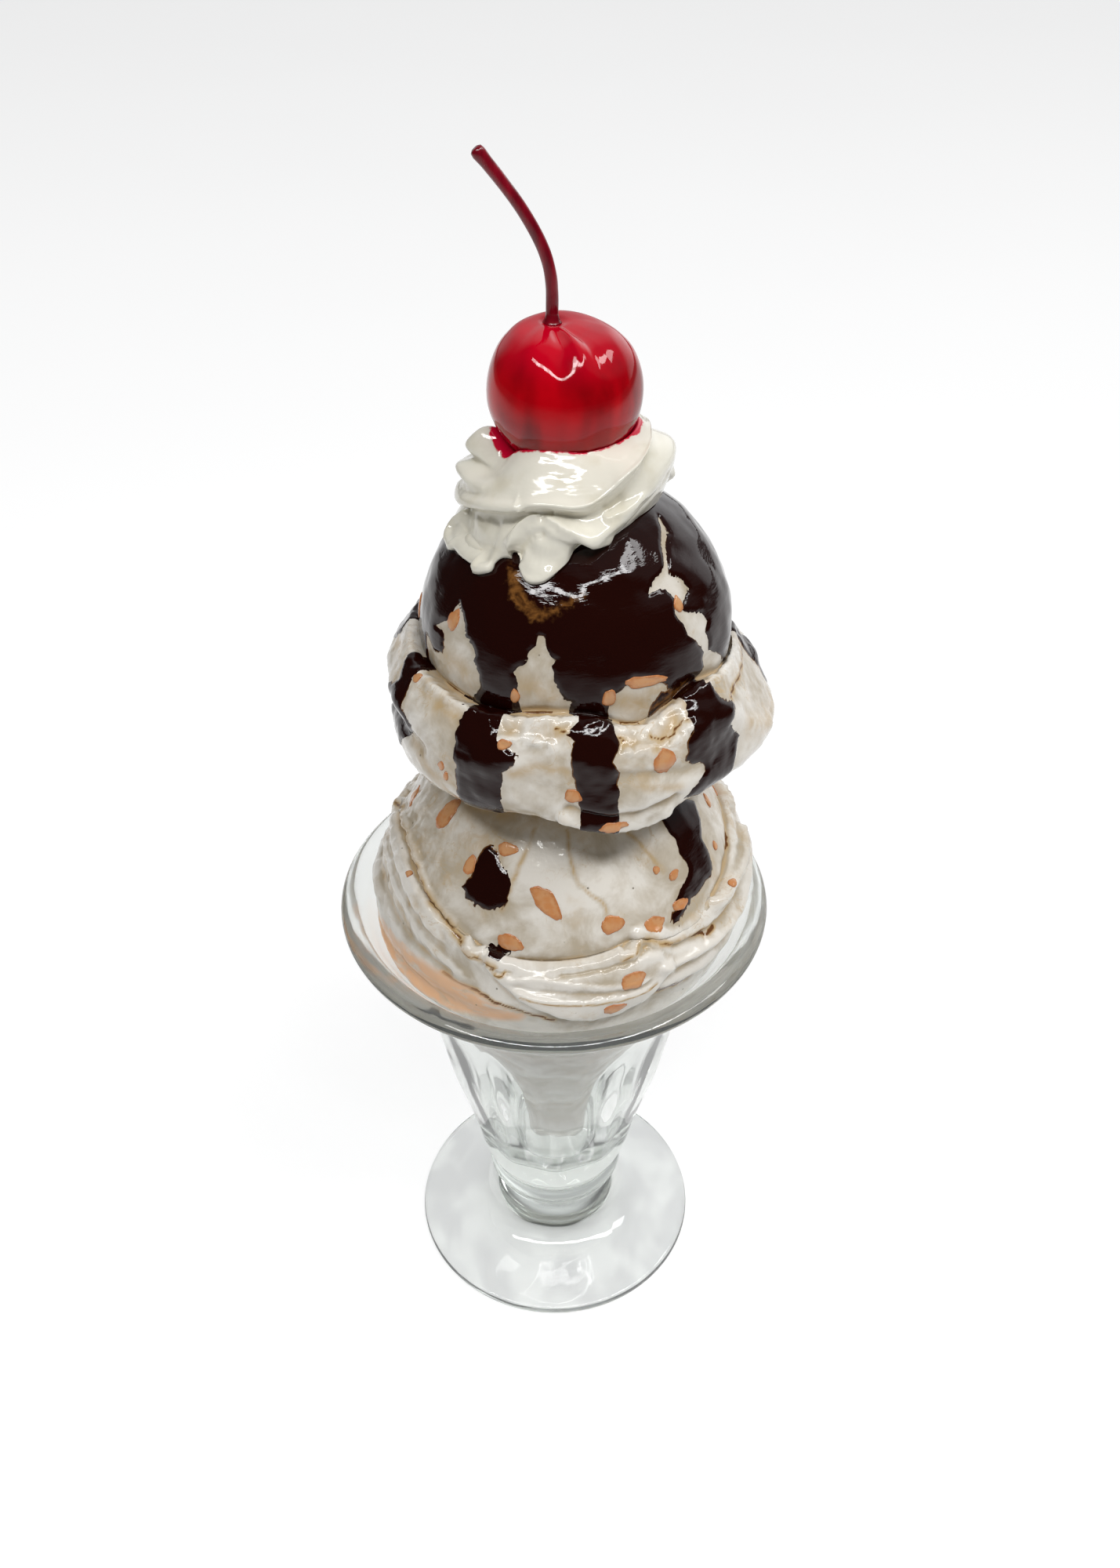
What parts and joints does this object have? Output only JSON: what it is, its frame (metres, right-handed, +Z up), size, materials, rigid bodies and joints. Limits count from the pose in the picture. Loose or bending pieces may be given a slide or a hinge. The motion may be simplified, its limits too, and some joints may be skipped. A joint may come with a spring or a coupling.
{
  "type": "ice cream sundae",
  "caption": "Glazed display copy of an ice cream sundae: two scoops with ragged skirts, sauce, nut chips, whipped cream and a stemmed cherry, standing in a footed, fluted tulip glass.",
  "frame": {"origin": "on the glass's axis, at the surface that its foot stands on", "axes": "+Z up along the glass's axis, -Y the shown front, +X to the right as seen from the front"},
  "size_m": [0.1004, 0.1004, 0.2871],
  "materials": {
    "glass": "clear pressed glass, glossy",
    "lower_scoop": "glossy off-white glaze with tan stains, dark sauce and tan nut chips",
    "upper_scoop": "glossy off-white glaze under runs of dark brown sauce, with tan nut chips",
    "whipped_cream": "glossy warm white glaze",
    "cherry": "very glossy deep red glaze",
    "cherry_stem": "glossy dark crimson glaze"
  },
  "bodies": {
    "root": {"glass": "glass", "lower_scoop": "lower_scoop", "upper_scoop": "upper_scoop", "whipped_cream": "whipped_cream", "cherry": "cherry", "cherry_stem": "cherry_stem"}
  },
  "joints": []
}
